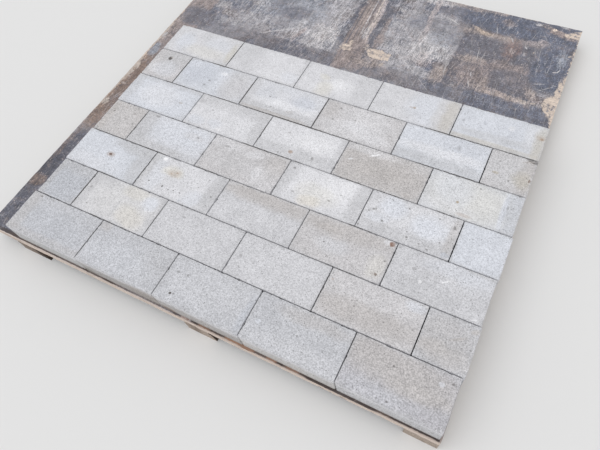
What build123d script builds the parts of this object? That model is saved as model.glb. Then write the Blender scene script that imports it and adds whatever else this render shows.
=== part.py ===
from build123d import *
import os

# A part-used pallet of concrete block pavers: seven courses of pavers stand in
# half bond on a film-faced plywood board, which lies on three timber bearers.
# Millimetres, +X along the courses, +Y from the near edge to the far edge, +Z up.
# The origin is on the ground, under the middle of the board.

# Pavers
paver_length = 210.0
paver_width = 105.0
paver_height = 60.0
paver_corner_radius = 2.5
paver_arris = 1.0
joint_width = 1.5

# Laying pattern
course_count = 7
pavers_in_course = 5
# Sideways step of each course from the straight line, near course first
course_steps = [-2.0, 2.0, -0.5, 2.0, -0.5, 0.0, 0.0]

# Board, as the bare margins it leaves round the pavers
board_thickness = 21.0
near_margin = 6.0
far_margin = 444.0
left_margin = 102.0
right_margin = 2.0
board_corner_radius = 4.0

# Bearers, laid from the near edge of the board to its far edge
bearer_height = 38.0
left_bearer_width = 88.0
middle_bearer_width = 76.0
right_bearer_width = 70.0
left_bearer_inset = 80.0
right_bearer_inset = 1.0
middle_bearer_shift = -10.0
# Width of sawn top face that the wane leaves, and height of sawn side below it
left_bearer_top = 45.0
middle_bearer_top = 64.0
wane_foot = 4.0
log_radius = 160.0

# Values that follow from those above
paver_pitch = paver_length + joint_width
course_pitch = paver_width + joint_width
half_paver_length = (paver_length - joint_width) / 2
load_length = pavers_in_course * paver_pitch - joint_width
load_depth = course_count * course_pitch - joint_width
board_length = left_margin + load_length + right_margin
board_depth = near_margin + load_depth + far_margin
board_bottom = bearer_height
board_top = board_bottom + board_thickness
board_left = -board_length / 2
board_near = -board_depth / 2
load_left = board_left + left_margin
load_near = board_near + near_margin

os.makedirs("parts", exist_ok=True)


def write(shape, node):
    shape.label = node
    export_step(shape, "parts/" + node + ".step")


def make_paver(length):
    """A block with upright corners rounded by the mould and its top arris broken."""
    outline = RectangleRounded(length, paver_width, paver_corner_radius)
    block = extrude(outline, paver_height)
    rim = block.edges().group_by(Axis.Z)[-1]
    return chamfer(rim, paver_arris)


def lay_paver(block, left, course):
    """Stand a block on the board with its left end at left, in the given course."""
    length = block.bounding_box().size.X
    middle_x = left + length / 2
    middle_y = load_near + course * course_pitch + paver_width / 2
    return Pos(middle_x, middle_y, board_top) * block


def lay_whole_course(course):
    """A course of whole pavers, from the left."""
    start = load_left + course_steps[course]
    for place in range(pavers_in_course):
        block = lay_paver(whole_paver, start + place * paver_pitch, course)
        write(block, f"paver_course_{course + 1}_no_{place + 1}")


def lay_bonded_course(course):
    """A course with a half paver at each end, so that its joints break bond."""
    start = load_left + course_steps[course]
    write(lay_paver(half_paver, start, course), f"half_paver_course_{course + 1}_left")
    start_whole = start + half_paver_length + joint_width
    for place in range(pavers_in_course - 1):
        block = lay_paver(whole_paver, start_whole + place * paver_pitch, course)
        write(block, f"paver_course_{course + 1}_no_{place + 1}")
    right_start = start + load_length - half_paver_length
    write(lay_paver(half_paver, right_start, course), f"half_paver_course_{course + 1}_right")


def make_bearer(left, width, top_width):
    """A sawn timber; past top_width its upper right corner is the curve of the log."""
    right = left + width
    if top_width < width:
        shoulder = (left + top_width, bearer_height)
        foot = (right, wane_foot)
        sawn = Polyline(foot, (right, 0), (left, 0), (left, bearer_height), shoulder)
        wane = RadiusArc(shoulder, foot, log_radius)
        section = make_face(Plane.XZ * (Curve() + [sawn, wane]))
    else:
        corners = [(left, 0), (right, 0), (right, bearer_height), (left, bearer_height)]
        section = make_face(Plane.XZ * Polyline(*corners, close=True))
    return Pos(0, board_near, 0) * extrude(section, board_depth, dir=(0, 1, 0))


# The pavers, one solid each
whole_paver = make_paver(paver_length)
half_paver = make_paver(half_paver_length)
for course in range(course_count):
    if course % 2 == 0:
        lay_whole_course(course)
    else:
        lay_bonded_course(course)

# The board
board_outline = RectangleRounded(board_length, board_depth, board_corner_radius)
write(Pos(0, 0, board_bottom) * extrude(board_outline, board_thickness), "plywood_board")

# The bearers
left_bearer_left = board_left + left_bearer_inset
right_bearer_left = board_left + board_length - right_bearer_inset - right_bearer_width
gap_middle = (left_bearer_left + left_bearer_width + right_bearer_left) / 2
middle_bearer_left = gap_middle - middle_bearer_width / 2 + middle_bearer_shift
write(make_bearer(left_bearer_left, left_bearer_width, left_bearer_top), "bearer_left")
write(make_bearer(middle_bearer_left, middle_bearer_width, middle_bearer_top), "bearer_middle")
write(make_bearer(right_bearer_left, right_bearer_width, right_bearer_width), "bearer_right")
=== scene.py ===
import math

import bpy
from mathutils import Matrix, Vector, noise


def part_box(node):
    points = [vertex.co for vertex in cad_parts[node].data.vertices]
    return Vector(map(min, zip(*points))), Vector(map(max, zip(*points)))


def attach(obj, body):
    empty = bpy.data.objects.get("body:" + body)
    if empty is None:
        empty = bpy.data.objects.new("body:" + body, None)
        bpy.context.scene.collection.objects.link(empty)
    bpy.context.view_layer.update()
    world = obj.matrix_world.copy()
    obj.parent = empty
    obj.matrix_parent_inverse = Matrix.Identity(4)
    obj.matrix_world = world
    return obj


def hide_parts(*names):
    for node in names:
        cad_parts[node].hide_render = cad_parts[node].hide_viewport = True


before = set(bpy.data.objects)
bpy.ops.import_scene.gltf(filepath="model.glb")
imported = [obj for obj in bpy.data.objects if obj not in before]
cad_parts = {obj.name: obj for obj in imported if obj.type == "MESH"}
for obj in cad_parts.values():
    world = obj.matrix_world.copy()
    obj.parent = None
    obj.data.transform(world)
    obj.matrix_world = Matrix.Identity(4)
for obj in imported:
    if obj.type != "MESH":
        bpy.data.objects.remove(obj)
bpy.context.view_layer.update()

mm = 0.001


# Bearers
# Three lengths of rough-sawn softwood lie under the board, from its near edge to its
# far edge. The left and the middle one are cut from the outside of the log, so that
# their upper right corner is wane, the round of the trunk with its bark off.

# Of each bearer: the width of its sawn top face where the rest is wane, the pith of its
# log in x and z, its tone, and the x from which its near end is darkened to near-black
bearer_skins = {
    "bearer_left": (45 * mm, (-0.480, -0.110), (150, 133, 120), -0.440),
    "bearer_middle": (64 * mm, (0.010, -0.120), (200, 182, 168), None),
    "bearer_right": (None, (0.560, -0.070), (198, 181, 167), None),
}
wane_foot = 4 * mm
log_radius = 160 * mm
wane_facets = 7
# A face of the wane looks at least this much to the right and this much up
wane_slant = 0.12
sawn_pitch = 8 * mm
# The length is cut twice, each time by so many cuts between the last ones
length_cuts = (9, 14)
sawn_unevenness = 0.9 * mm
dark_end_reach = (14 * mm, 4 * mm)
smooth_angle = math.radians(38)
# Wear spares this much above what a piece stands on
foot_height = 1 * mm


def tint(red, green, blue):
    """A colour by its values from 0 to 255 on a screen, as the colour a shader takes."""
    shares = [value / 255 for value in (red, green, blue)]
    linear = [s / 12.92 if s <= 0.04045 else ((s + 0.055) / 1.055) ** 2.4 for s in shares]
    return (*linear, 1.0)


def wire(tree, node, inputs):
    """Set a shader node's inputs to values, or link them to other nodes' outputs."""
    for socket, value in inputs.items():
        if isinstance(value, bpy.types.NodeSocket):
            tree.links.new(value, node.inputs[socket])
        else:
            node.inputs[socket].default_value = value


def add_node(tree, kind, inputs, output=0, **settings):
    """Add a shader node, set and wire it, and give back one of its outputs."""
    made = tree.nodes.new("ShaderNode" + kind)
    for setting, value in settings.items():
        setattr(made, setting, value)
    wire(tree, made, inputs)
    return made.outputs[output]


def math_node(tree, operation, first, second=0.0):
    """One sum on two numbers or sockets."""
    return add_node(tree, "Math", {0: first, 1: second}, operation=operation)


def times(tree, first, second):
    """The product of two numbers or sockets."""
    return math_node(tree, "MULTIPLY", first, second)


def lay_over(tree, share, under, over):
    """One colour laid over another, by share."""
    return add_node(tree, "Mix", {0: share, 6: under, 7: over}, output=2, data_type="RGBA")


def between(tree, value, low, high, to_low=0.0, to_high=1.0):
    """A smooth step of a value from low to high."""
    inputs = {0: value, 1: low, 2: high, 3: to_low, 4: to_high}
    return add_node(tree, "MapRange", inputs, interpolation_type="SMOOTHSTEP")


def grain(tree, place, scale, detail=3.0, roughness=0.55, stretch=None):
    """Noise from 0 to 1 with so many grains to the metre, drawn out where stretch says."""
    if stretch:
        place = add_node(tree, "Mapping", {0: place, 3: stretch})
    inputs = {"Vector": place, "Scale": scale, "Detail": detail, "Roughness": roughness}
    return add_node(tree, "TexNoise", inputs)


def stir(tree, place, scale, reach):
    """The place pushed about by noise, so that what is drawn with it has an uneven rim."""
    inputs = {"Vector": place, "Scale": scale, "Detail": 3.0}
    push = add_node(tree, "TexNoise", inputs, output=1)
    centred = add_node(tree, "VectorMath", {0: push, 1: (0.5,) * 3}, operation="SUBTRACT")
    scaled = add_node(tree, "VectorMath", {0: centred, "Scale": 2 * reach}, operation="SCALE")
    return add_node(tree, "VectorMath", {0: place, 1: scaled}, operation="ADD")


def spot_of(tree, place):
    """The east, north and height of a place, as three numbers."""
    return add_node(tree, "SeparateXYZ", {0: place}).node.outputs[:3]


def new_finish(name):
    """A material, its node tree and the place on the piece in metres."""
    finish = bpy.data.materials.new(name)
    finish.use_nodes = True
    tree = finish.node_tree
    return finish, tree, add_node(tree, "TexCoord", {}, output=3)


def dress(tree, colour, roughness, relief=None, depth=0.0):
    """Give the shader its colour, its roughness and a relief of so many metres."""
    looks = {"Base Color": colour, "Roughness": roughness}
    if relief is not None:
        inputs = {"Height": relief, "Distance": depth, "Strength": 1.0}
        looks["Normal"] = add_node(tree, "Bump", inputs)
    wire(tree, tree.nodes["Principled BSDF"], looks)


def sawn_timber(name, tone, pith, near_end, dark_end_from):
    """Rough softwood: rings round a pith, fibres, saw marks, dirt and perhaps a near end darkened to
    near-black.
    """
    finish, tree, place = new_finish(name)
    wandering = stir(tree, place, 3.0, 0.006)
    centred = add_node(tree, "Mapping", {0: wandering, 1: (-pith[0], 0.0, -pith[1])})
    rings = add_node(
        tree,
        "TexWave",
        {"Vector": centred, "Scale": 55.0, "Distortion": 1.2, "Detail": 2.0, "Detail Scale": 4.0},
        wave_type="RINGS",
        rings_direction="Y",
        wave_profile="SAW",
    )
    fibres = grain(tree, place, 260.0, 4.0, 0.6, (1.0, 0.045, 1.0))
    stains = grain(tree, place, 9.0, 4.0, 0.6, (1.0, 0.35, 1.0))
    saw_marks = grain(tree, place, 190.0, 2.0, 0.5, (0.06, 1.0, 0.35))
    colour = lay_over(tree, rings, tint(*tone), tint(*[0.80 * v for v in tone]))
    fibre_share = between(tree, fibres, 0.42, 0.66)
    colour = lay_over(tree, fibre_share, colour, tint(*[0.70 * v for v in tone]))
    stain_share = between(tree, stains, 0.50, 0.68, 0.0, 0.75)
    colour = lay_over(tree, stain_share, colour, tint(112, 98, 88))
    dust_share = between(tree, grain(tree, place, 34.0, 5.0), 0.55, 0.72, 0.0, 0.4)
    colour = lay_over(tree, dust_share, colour, tint(168, 160, 152))
    # the near end darkened to near-black right of a slanted line, over its last 14 mm
    if dark_end_from is not None:
        east, north, height = spot_of(tree, stir(tree, place, 60.0, 0.003))
        slanted = math_node(tree, "ADD", east, times(tree, height, 0.4))
        darkened = between(tree, slanted, dark_end_from - 3 * mm, dark_end_from + 3 * mm, 0.0, 0.92)
        at_end = between(tree, north, near_end + dark_end_reach[0], near_end + dark_end_reach[1])
        colour = lay_over(tree, times(tree, darkened, at_end), colour, tint(50, 42, 38))
    relief = math_node(tree, "ADD", fibres, times(tree, saw_marks, 0.8))
    dress(tree, colour, between(tree, fibres, 0.3, 0.7, 0.72, 0.92), relief, 0.9 * mm)
    return finish


def wane_skin_and_shade():
    """The outside of the log with its bark off, furrowed along its length, in near-black browns that
    are partly its own darker wood and partly painted shade from the board above.
    """
    finish, tree, place = new_finish("wane_skin_and_shade")
    furrows = grain(tree, place, 120.0, 5.0, 0.6, (1.0, 0.09, 1.0))
    blotches = grain(tree, place, 22.0, 4.0, 0.6, (1.0, 0.4, 1.0))
    colour = lay_over(tree, between(tree, furrows, 0.38, 0.62), tint(66, 53, 46), tint(100, 82, 70))
    colour = lay_over(tree, between(tree, blotches, 0.52, 0.66, 0.0, 0.8), colour, tint(48, 39, 35))
    dress(tree, colour, 0.88, furrows, 1.6 * mm)
    return finish


def select_alone(piece):
    """Select one piece and nothing else."""
    bpy.ops.object.select_all(action="DESELECT")
    piece.select_set(True)
    bpy.context.view_layer.objects.active = piece


def add_block(name, low, high):
    """A block between two corners, with its place in its mesh, selected alone."""
    bpy.ops.object.select_all(action="DESELECT")
    bpy.ops.mesh.primitive_cube_add(size=1, location=(low + high) / 2)
    block = bpy.context.object
    block.name = name
    block.scale = high - low
    bpy.ops.object.transform_apply(location=True, rotation=True, scale=True)
    return block


def pick(piece, kind, wanted):
    """In edit mode, select only the corners, edges or faces that a test of their points wants."""
    bpy.ops.mesh.select_mode(type=kind)
    bpy.ops.mesh.select_all(action="DESELECT")
    bpy.ops.object.mode_set(mode="OBJECT")
    mesh = piece.data
    for part in {"VERT": mesh.vertices, "EDGE": mesh.edges, "FACE": mesh.polygons}[kind]:
        corners = [part.index] if kind == "VERT" else part.vertices
        part.select = wanted([mesh.vertices[corner].co for corner in corners])
    bpy.ops.object.mode_set(mode="EDIT")


def cut_across(direction, places):
    """Score the whole mesh by planes square to a direction, at these distances along it."""
    direction = Vector(direction)
    for place in places:
        bpy.ops.mesh.select_all(action="SELECT")
        bpy.ops.mesh.bisect(plane_co=direction * place, plane_no=direction)


def spaced(low, high, pitch):
    """Even places strictly between low and high, no further apart than pitch."""
    count = math.ceil((high - low) / pitch - 1e-6)
    return [low + (high - low) * step / count for step in range(1, count)]


def new_relief(name, size, depth, ramp=None):
    """A cloud pattern for the Displace modifier, whose low part is cut off by a ramp."""
    relief = bpy.data.textures.new(name, type="CLOUDS")
    relief.noise_scale = size
    relief.noise_depth = depth
    if ramp:
        relief.use_color_ramp = True
        for end, position, shade in zip(relief.color_ramp.elements, ramp, (0, 1)):
            end.position = position
            end.color = (shade, shade, shade, 1)
    return relief


def wear_down(piece, relief, depth, group):
    """Sink the points of a group by up to depth where the relief is high, and apply it."""
    worn = piece.modifiers.new("wear", "DISPLACE")
    if relief:
        worn.texture = relief
        worn.texture_coords = "LOCAL"
    worn.mid_level = 0.0
    worn.strength = -depth
    worn.vertex_group = group
    bpy.context.view_layer.objects.active = piece
    bpy.ops.object.modifier_apply(modifier="wear")


def group_points(piece, name, weight_at):
    """Name the points of a piece whose weight isn't nought, as a vertex group."""
    group = piece.vertex_groups.new(name=name)
    for point in piece.data.vertices:
        weight = weight_at(point.co)
        if weight > 0:
            group.add([point.index], weight, "REPLACE")


def hand_over(piece, node):
    """A finished piece rides on the pallet's one body and stands for its CAD node."""
    select_alone(piece)
    bpy.ops.object.shade_smooth_by_angle(angle=smooth_angle)
    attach(piece, "root")
    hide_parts(node)


def wane_cuts(low, high, top_width):
    """Planes that shave the upper right corner of a bearer to the round of the log."""
    shoulder = Vector((low.x + top_width, high.z))
    foot = Vector((high.x, low.z + wane_foot))
    half = (foot - shoulder) / 2
    inward = Vector((half.y, -half.x)).normalized()
    centre = shoulder + half + inward * math.sqrt(log_radius**2 - half.length_squared)
    start = math.atan2(shoulder.y - centre.y, shoulder.x - centre.x)
    end = math.atan2(foot.y - centre.y, foot.x - centre.x)
    turns = [start + (end - start) * step / wane_facets for step in range(wane_facets + 1)]
    points = [centre + log_radius * Vector((math.cos(t), math.sin(t))) for t in turns]
    for first, second in zip(points, points[1:]):
        run = (second - first).normalized()
        yield (first.x, 0.0, first.y), (-run.y, 0.0, run.x)


rough_sawing = new_relief("rough_sawing", 0.045, 4)
sawn_dents = new_relief("sawn_dents", 0.012, 2, ramp=(0.55, 0.75))
# the wane's near-black skin is partly painted shade from the board above
wane_and_shade_finish = wane_skin_and_shade()

for node, (top_width, pith, tone, dark_end_from) in bearer_skins.items():
    low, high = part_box(node)
    bearer = add_block("sawn_" + node, low, high)
    bpy.ops.object.mode_set(mode="EDIT")
    if top_width:
        for point, outward in wane_cuts(low, high, top_width):
            bpy.ops.mesh.select_all(action="SELECT")
            bpy.ops.mesh.bisect(plane_co=point, plane_no=outward, use_fill=True, clear_outer=True)
    cut_across((1, 0, 0), spaced(low.x, high.x, sawn_pitch))
    cut_across((0, 0, 1), spaced(low.z, high.z, sawn_pitch))
    for cuts in length_cuts:
        pick(bearer, "EDGE", lambda ends: abs(ends[0].y - ends[1].y) > sawn_pitch)
        bpy.ops.mesh.subdivide(number_cuts=cuts)
    bpy.ops.object.mode_set(mode="OBJECT")
    group_points(bearer, "above_ground", lambda point: float(point.z > foot_height))
    wear_down(bearer, rough_sawing, sawn_unevenness, "above_ground")
    wear_down(bearer, sawn_dents, sawn_unevenness, "above_ground")
    bearer.data.materials.append(sawn_timber("timber_of_" + node, tone, pith, low.y, dark_end_from))
    bearer.data.materials.append(wane_and_shade_finish)
    for face in bearer.data.polygons:
        is_wane = top_width and min(face.normal.x, face.normal.z) > wane_slant
        face.material_index = 1 if is_wane else 0
    hand_over(bearer, node)


# Board
# A sheet of film-faced plywood, fifteen plies of birch glued crosswise under a dark
# phenolic film. Work with wet concrete has hazed and scratched the film, and its edges
# and a few patches are worn down to bare wood.

ply_count = 15
board_cells = (193, 149)
board_corner = 4 * mm
edge_wear = 1.6 * mm
rough_ply_wear = 0.6 * mm
rim_width = 1 * mm
torn_depth = 0.6 * mm
# The rim of a torn patch wobbles by so many millimetres, with so many waves to the metre,
# the same each run by its seed. Its depth fades from the outer share of its half size
# over the next share.
torn_wobble, torn_waves, torn_seed = 3, 60, 1
torn_outer, torn_fade = 1.15, 0.3
# Marks narrower than this from their middle, in millimetres, keep a crisp rim
crisp_on_film = 5
# A point this near to a flat face lies on it
face_slack = 0.1 * mm

# Colours of the film, from clean to worn through
film_black = tint(92, 93, 104)
seam_ink = tint(62, 62, 72)
film_dark = tint(104, 104, 114)
film_blue = tint(98, 103, 119)
film_brown = tint(115, 107, 109)
dust_blue = tint(148, 152, 163)
dust_grey = tint(168, 166, 171)
dust_pale = tint(200, 197, 199)
worn_brown = tint(143, 131, 129)
worn_orange = tint(128, 110, 101)
worn_tan = tint(171, 158, 152)
worn_pink = tint(183, 171, 170)
rust_brown = tint(130, 107, 101)
bare_wood = tint(226, 210, 196)
bare_grey = tint(198, 187, 179)
wood_dirt = tint(158, 144, 136)
# Darks of the seam: dark film and dirt, with painted contact shade at the blocks' feet
black_seam_dirt_and_shade = tint(60, 48, 43)
brown_seam_dirt_and_shade = tint(94, 81, 73)
seam_rust = tint(166, 128, 104)
rim_wood = tint(214, 200, 192)
rim_dull = tint(194, 178, 169)

# What shows on the board, in the order it lies there, in millimetres: the middle's x and
# y, half length and half width, softness of the rim, strength and colour. A mark that is
# turned, or squarer than an oval of squareness 2, also has its degrees and squareness.
board_marks = [
    # dust and wash over the free part
    (-250, 400, 110, 90, 0.6, 0.6, dust_blue), (-60, 480, 70, 60, 0.7, 0.5, dust_grey),
    (-100, 325, 56, 34, 0.8, 0.6, dust_pale, -4, 2), (-80, 400, 30, 50, 0.8, 0.35, dust_pale, 20, 2),
    (-190, 330, 14, 55, 0.6, 0.45, dust_pale, 0, 3), (-300, 310, 90, 30, 0.6, 0.6, dust_grey, 10, 3),
    (-255, 255, 90, 30, 0.5, 0.35, film_brown, 0, 3), (-150, 276, 70, 14, 0.6, 0.35, dust_grey, 0, 3),
    (-345, 305, 26, 34, 0.7, 0.25, dust_grey, 0, 3), (-300, 425, 28, 28, 0.8, 0.5, film_dark),
    (-250, 330, 24, 20, 0.6, 0.3, film_dark), (-200, 262, 110, 22, 0.6, 0.3, dust_grey, 0, 3),
    (-352, 276, 24, 16, 0.8, 0.4, film_dark), (-248, 322, 24, 16, 0.8, 0.35, film_dark),
    (-146, 335, 14, 18, 0.8, 0.35, film_blue), (-105, 268, 34, 22, 0.8, 0.45, dust_pale),
    (-178, 296, 8, 38, 0.7, 0.55, worn_pink, -16, 2), (-150, 330, 5, 40, 0.7, 0.4, dust_pale, -22, 2),
    (-355, 370, 26, 40, 0.7, 0.3, dust_pale, 0, 3), (-230, 380, 50, 30, 0.6, 0.6, film_dark, 10, 2),
    (110, 400, 60, 100, 0.6, 0.7, dust_grey), (195, 375, 45, 55, 0.6, 0.6, dust_pale),
    (205, 330, 30, 35, 0.6, 0.4, worn_pink), (225, 425, 38, 36, 0.6, 0.5, dust_blue),
    (262, 470, 26, 46, 0.6, 0.45, film_dark, 0, 3), (245, 365, 35, 30, 0.6, 0.5, dust_pale),
    (130, 545, 25, 22, 0.5, 0.4, film_dark), (145, 475, 40, 35, 0.6, 0.45, film_blue),
    (200, 480, 30, 38, 0.5, 0.45, film_dark), (205, 565, 38, 30, 0.7, 0.6, film_dark),
    (130, 520, 110, 18, 0.7, 0.35, dust_grey), (150, 588, 64, 18, 0.6, 0.6, dust_pale, -4, 2),
    (167, 500, 8, 90, 0.6, 0.45, worn_pink, 2, 3), (100, 560, 25, 30, 0.6, 0.5, dust_grey),
    (150, 325, 34, 22, 0.6, 0.35, dust_pale, -30, 2), (165, 276, 60, 20, 0.6, 0.75, dust_grey, 0, 3),
    (100, 345, 30, 18, 0.6, 0.4, dust_pale),
    # clean strip at the foot of the load
    (120, 234, 720, 24, 0.35, 0.5, film_dark, 0, 8), (-230, 238, 140, 26, 0.5, 0.3, film_brown, 0, 4),
    (150, 248, 26, 14, 0.6, 0.4, dust_grey), (275, 238, 40, 18, 0.5, 0.5, film_blue, 0, 3),
    (0, 278, 22, 12, 0.6, 0.4, dust_grey), (60, 240, 110, 22, 0.5, 0.45, film_brown, 0, 4),
    (15, 245, 30, 26, 0.6, 0.6, worn_brown, 0, 3),
    # stripe where a batten lay: black line, brown middle, pale line
    (-46, 420, 9, 88, 0.6, 0.85, film_black, 2, 3), (-48, 300, 9, 70, 0.5, 0.45, film_dark, 2, 5),
    (-18, 380, 19, 150, 0.45, 0.8, worn_brown, 2, 4), (50, 270, 50, 22, 0.6, 0.5, worn_tan, 0, 3),
    (-22, 440, 5, 60, 0.6, 0.5, worn_tan, 3, 3), (-32, 380, 2.2, 110, 0.5, 0.6, film_black, 3, 3),
    (-9, 450, 1.8, 90, 0.5, 0.6, dust_pale, 3, 3), (-16, 350, 1.6, 70, 0.5, 0.5, film_black, 4, 3),
    (-24, 500, 1.6, 60, 0.5, 0.7, film_brown, 2, 3), (0, 470, 8, 44, 0.5, 0.7, film_brown, 2, 3),
    (13, 430, 11, 108, 0.6, 0.6, worn_pink, 3, 3), (8, 440, 1.8, 100, 0.5, 0.7, bare_grey, 3, 3),
    (19, 400, 1.6, 90, 0.5, 0.6, bare_grey, 4, 3), (3, 380, 1.8, 60, 0.5, 0.7, film_brown, 2, 3),
    (10, 372, 8, 26, 0.5, 0.5, dust_pale, 0, 3), (12, 300, 20, 40, 0.6, 0.6, worn_brown, 0, 3),
    (39, 430, 12, 112, 0.6, 0.75, film_dark, 3, 3), (31, 420, 2, 90, 0.5, 0.7, film_black, 3, 3),
    (40, 535, 16, 22, 0.5, 0.3, film_blue, 0, 3), (55, 410, 7, 50, 0.6, 0.55, worn_brown, 3, 3),
    (60, 352, 11, 26, 0.6, 0.6, worn_brown, 0, 3),
    # left end of the rectangle that a form left, and the dark line beside it
    (262, 288, 20, 30, 0.8, 0.6, worn_tan, -25, 2), (270, 545, 24, 55, 0.6, 0.55, film_brown, 0, 3),
    (290, 388, 10, 130, 0.6, 0.8, film_black, 0, 4), (400, 400, 108, 120, 0.4, 0.55, film_brown, 0, 5),
    (420, 556, 150, 40, 0.6, 0.9, film_blue, 0, 3), (350, 535, 60, 30, 0.5, 0.5, film_blue, 0, 3),
    (380, 560, 20, 16, 0.6, 0.5, worn_brown), (385, 487, 90, 9, 0.8, 0.5, worn_tan, -1, 3),
    (316, 502, 14, 15, 0.6, 0.3, worn_tan, 0, 3),
    (330, 493, 36, 8, 0.7, 0.7, tint(190, 173, 160), -24, 2), (465, 499, 44, 8, 0.7, 0.45, worn_pink),
    (50, 525, 20, 24, 0.8, 0.35, dust_grey), (-50, 372, 12, 26, 0.9, 0.45, dust_grey),
    (492, 573, 22, 5, 0.6, 0.5, worn_tan), (492, 504, 16, 16, 0.6, 0.5, worn_pink),
    (350, 430, 62, 44, 0.6, 0.7, film_dark, 0, 3), (462, 428, 42, 50, 0.6, 0.75, film_dark, 0, 3),
    (417, 452, 22, 38, 0.8, 0.55, rust_brown), (420, 445, 8, 14, 0.5, 0.5, worn_pink, 20, 2),
    (330, 376, 36, 14, 0.8, 0.6, worn_tan, 4, 2), (432, 375, 70, 24, 0.8, 0.6, worn_brown),
    (350, 322, 52, 46, 0.8, 0.55, worn_brown), (385, 290, 14, 30, 0.9, 0.5, worn_tan),
    (450, 322, 50, 40, 0.5, 0.6, film_dark, 0, 4), (465, 335, 40, 30, 0.6, 0.35, worn_brown),
    (440, 273, 66, 12, 0.8, 0.6, worn_tan, -4, 2), (495, 272, 14, 9, 0.5, 0.4, bare_grey),
    (512, 300, 14, 30, 0.6, 0.5, worn_tan, 30, 2), (536, 418, 42, 76, 0.5, 0.9, film_blue, 0, 3),
    (470, 238, 112, 24, 0.3, 0.6, film_blue, 0, 6), (410, 240, 50, 12, 0.6, 0.3, dust_grey),
    (545, 535, 34, 45, 0.5, 0.4, film_blue, 0, 3), (560, 500, 20, 20, 0.5, 0.3, film_dark),
    # far right corner
    (535, 590, 32, 15, 0.4, 0.9, film_blue, 0, 3), (530, 592, 12, 6, 0.5, 0.5, dust_pale),
    (500, 578, 34, 16, 0.8, 0.4, seam_ink), (450, 475, 26, 22, 0.8, 0.3, seam_ink),
    (552, 462, 12, 30, 0.8, 0.7, dust_blue), (484, 582, 15, 10, 0.6, 0.4, worn_tan),
    (464, 580, 9, 6, 0.5, 0.7, dust_pale, 30, 2), (525, 562, 26, 9, 0.5, 0.8, worn_brown, -12, 3),
    (550, 552, 24, 8, 0.5, 0.6, worn_brown, -8, 3), (507, 571, 5, 6, 0.4, 0.8, bare_wood),
    (260, 592, 60, 12, 0.6, 0.5, worn_tan, 0, 3), (350, 598, 20, 12, 0.6, 0.5, worn_tan, 0, 3),
    # left margin
    (-540, 60, 46, 300, 0.2, 0.7, worn_brown, 0, 8), (-520, 260, 50, 36, 0.5, 0.7, film_dark, 0, 3),
    (-562, 80, 14, 26, 0.5, 0.8, dust_blue), (-555, -90, 26, 135, 0.3, 0.8, worn_orange, 0, 4),
    (-545, -345, 34, 80, 0.35, 0.85, film_black, 0, 4),
    (-560, -365, 18, 50, 0.5, 0.5, film_black, 0, 3), (-564, -450, 20, 120, 0.5, 0.55, seam_ink, 0, 4),
    (-574, -60, 7, 110, 0.6, 0.5, tint(170, 146, 128), 0, 3),
    (-574, -300, 8, 60, 0.6, 0.4, worn_orange, 0, 3), (-560, -440, 22, 18, 0.5, 0.55, worn_orange),
    (-558, -485, 20, 24, 0.5, 0.6, film_black, 0, 3), (-555, -130, 20, 22, 0.6, 0.35, film_dark),
    (-548, -540, 40, 60, 0.5, 0.9, film_black, 0, 4), (-566, 190, 14, 50, 0.6, 0.4, worn_tan, 0, 3),
    (-570, 150, 11, 11, 0.5, 0.7, dust_pale), (-572, 5, 9, 13, 0.4, 0.9, bare_wood),
    (-562, -70, 10, 4, 0.5, 0.8, worn_tan, -8, 2), (-564, -40, 6, 3, 0.5, 0.8, worn_tan),
    (-570, -145, 8, 14, 0.5, 0.7, bare_grey), (-575, -226, 5, 4, 0.5, 0.5, bare_grey),
    (-576, -450, 4, 4, 0.5, 0.4, bare_grey),
]

# The near margin: a seam along the feet of the first course, dark with dirt and film and
# with painted contact shade at the blocks' feet, and the rim in front of it, worn to the wood
margin_marks = [
    (-350, -591, 160, 3.6, 0.12, 0.85, brown_seam_dirt_and_shade, 0, 8),
    (-110, -591, 90, 3.4, 0.12, 0.55, brown_seam_dirt_and_shade, 0, 8),
    (230, -592, 100, 4.6, 0.12, 0.95, brown_seam_dirt_and_shade, 0, 8),
    (445, -592, 145, 6.5, 0.12, 0.95, black_seam_dirt_and_shade, 0, 8),
    (100, -592, 60, 4.4, 0.12, 0.95, brown_seam_dirt_and_shade, 0, 8),
    (-270, -591, 8, 4.5, 0.4, 0.8, black_seam_dirt_and_shade, 0, 3), (-360, -591, 8, 4, 0.4, 0.6, black_seam_dirt_and_shade, 0, 3),
    (-510, -591, 34, 5.5, 0.4, 0.7, black_seam_dirt_and_shade, 0, 3),
    (-200, -591, 14, 3.6, 0.5, 0.6, black_seam_dirt_and_shade, 0, 3), (-12, -591, 10, 5.5, 0.4, 0.8, black_seam_dirt_and_shade, 0, 3),
    (34, -591, 9, 6, 0.4, 0.9, black_seam_dirt_and_shade, 0, 3), (90, -591, 16, 5, 0.4, 0.5, black_seam_dirt_and_shade, 0, 3),
    (240, -591, 8, 6, 0.4, 0.9, black_seam_dirt_and_shade, 0, 3), (10, -591, 10, 5, 0.5, 0.45, seam_rust, 0, 3),
    (58, -591, 12, 5, 0.5, 0.45, seam_rust, 0, 3), (130, -591, 16, 5.5, 0.5, 0.8, seam_rust, 0, 3),
    (165, -591, 14, 6.5, 0.5, 0.7, seam_rust, 0, 3), (222, -591, 10, 5.5, 0.5, 0.6, seam_rust, 0, 3),
    (270, -591, 12, 5, 0.5, 0.5, seam_rust, 0, 3), (465, -591, 12, 6, 0.5, 0.9, brown_seam_dirt_and_shade, 0, 3),
    (-305, -599, 275, 4.4, 0.12, 0.9, rim_wood, 0, 8), (60, -599, 88, 4.2, 0.12, 0.85, rim_dull, 0, 8),
    (240, -599, 62, 4, 0.12, 0.85, rim_dull, 0, 8), (375, -599, 72, 2.8, 0.12, 0.8, rim_dull, 0, 8),
    (515, -599, 66, 4.4, 0.12, 0.85, rim_dull, 0, 8), (580, -588, 3, 22, 0.4, 0.8, worn_tan, 0, 4),
]

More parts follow.
